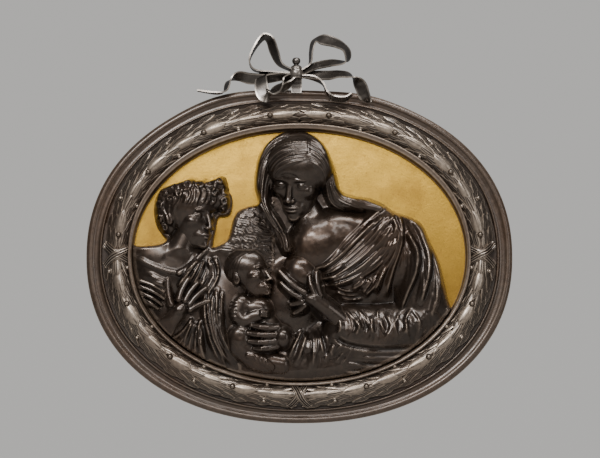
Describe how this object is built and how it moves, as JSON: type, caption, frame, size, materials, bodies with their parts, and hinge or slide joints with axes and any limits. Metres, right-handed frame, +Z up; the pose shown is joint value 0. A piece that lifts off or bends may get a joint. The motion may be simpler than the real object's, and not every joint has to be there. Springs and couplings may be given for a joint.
{
  "type": "relief plaque",
  "caption": "Oval bronze wall plaque: a moulded frame with a laurel garland and ribbon bow around a gilt ground with seated figures in high relief.",
  "frame": {"origin": "centre of the oval on the flat back, where the plaque meets the wall", "axes": "+X along the long axis of the oval to the viewer's right, +Z up, +Y into the wall, so the relief faces -Y"},
  "size_m": [0.682, 0.0688, 0.6229],
  "materials": {
    "frame_bronze": "dark brown patinated cast bronze, polished on the high edges",
    "gilt": "worn mercury gilding with brown patches",
    "figure_bronze": "dark brown patinated cast bronze, glossy",
    "ribbon_bronze": "near-black patinated cast bronze, glossy",
    "knob_bronze": "dark polished bronze"
  },
  "bodies": {
    "root": {"frame": "frame_bronze", "ground_plate": "gilt", "figure_group": "figure_bronze", "ribbon_bow": "ribbon_bronze", "bow_knob": "knob_bronze"}
  },
  "joints": []
}
